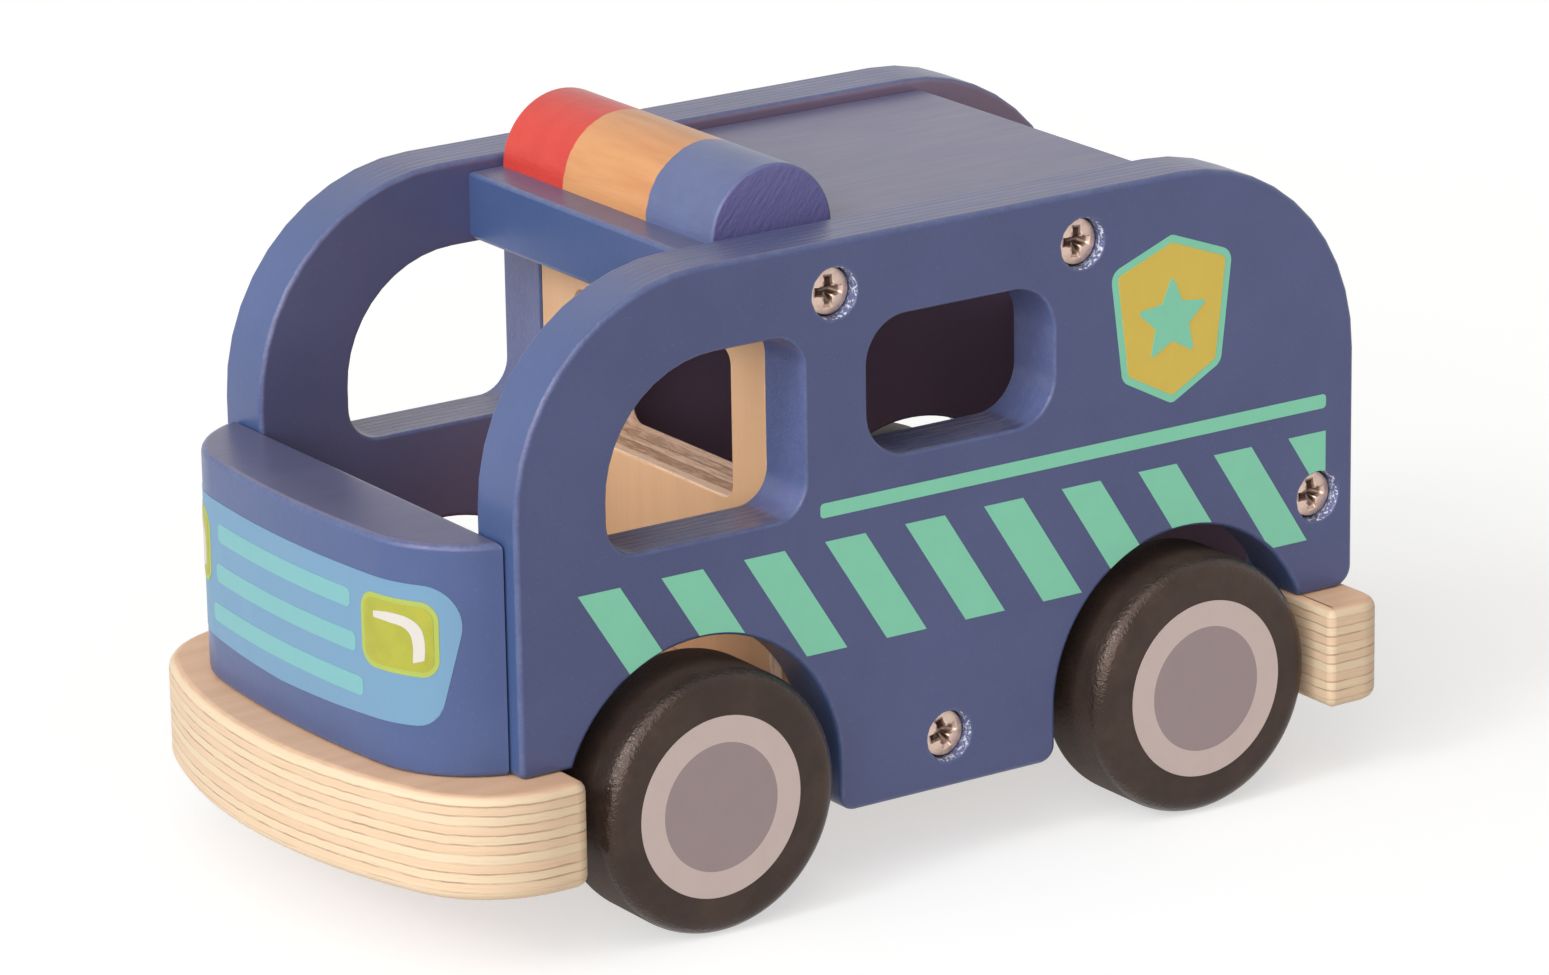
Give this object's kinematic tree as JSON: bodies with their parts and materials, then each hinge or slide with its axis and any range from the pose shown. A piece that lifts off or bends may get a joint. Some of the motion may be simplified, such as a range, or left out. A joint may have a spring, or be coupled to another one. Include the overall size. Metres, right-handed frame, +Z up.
{
  "type": "wooden toy police bus",
  "caption": "Free-rolling wooden toy police van with cut-out painted side panels, open cab and load bay, bowed nose on a plywood bumper, roof light bar and wheels on through axles.",
  "frame": {"origin": "on the floor under the middle of the bus's overall length and width", "axes": "+X towards the front bumper, +Y towards the bus's left side, +Z up"},
  "size_m": [0.1623, 0.094, 0.1025],
  "materials": {
    "navy_paint": "satin paint over plywood",
    "bare_plywood": "sanded, clear matt lacquer",
    "lamp_bar": "bare in the middle, painted red and blue at the ends",
    "wheel_black": "satin paint with printed hub rings",
    "zinc_steel": "zinc plated",
    "beech": "bare"
  },
  "bodies": {
    "bus": {"base_board": "bare_plywood", "left_side_panel": "navy_paint", "right_side_panel": "navy_paint", "roof_board": "navy_paint", "cab_partition": "bare_plywood", "tailboard": "navy_paint", "nose_block": "navy_paint", "light_bar": "lamp_bar", "left_roof_front_screw": "zinc_steel", "left_roof_rear_screw": "zinc_steel", "left_tail_screw": "zinc_steel", "left_base_screw": "zinc_steel", "right_roof_front_screw": "zinc_steel", "right_roof_rear_screw": "zinc_steel", "right_tail_screw": "zinc_steel", "right_base_screw": "zinc_steel", "nose_left_dowel": "beech", "nose_right_dowel": "beech", "partition_left_dowel": "beech", "partition_right_dowel": "beech", "light_left_dowel": "beech", "light_right_dowel": "beech"},
    "front_wheels": {"front_axle": "zinc_steel", "front_left_wheel": "wheel_black", "front_right_wheel": "wheel_black"},
    "rear_wheels": {"rear_axle": "zinc_steel", "rear_left_wheel": "wheel_black", "rear_right_wheel": "wheel_black"}
  },
  "joints": [
    {"name": "front_axle_spin", "type": "hinge", "parent": "bus", "child": "front_wheels", "pos_m": [0.032, 0, 0.019], "axis": [0, 1, 0], "continuous": true},
    {"name": "rear_axle_spin", "type": "hinge", "parent": "bus", "child": "rear_wheels", "pos_m": [-0.0504, 0, 0.019], "axis": [0, 1, 0], "continuous": true}
  ]
}
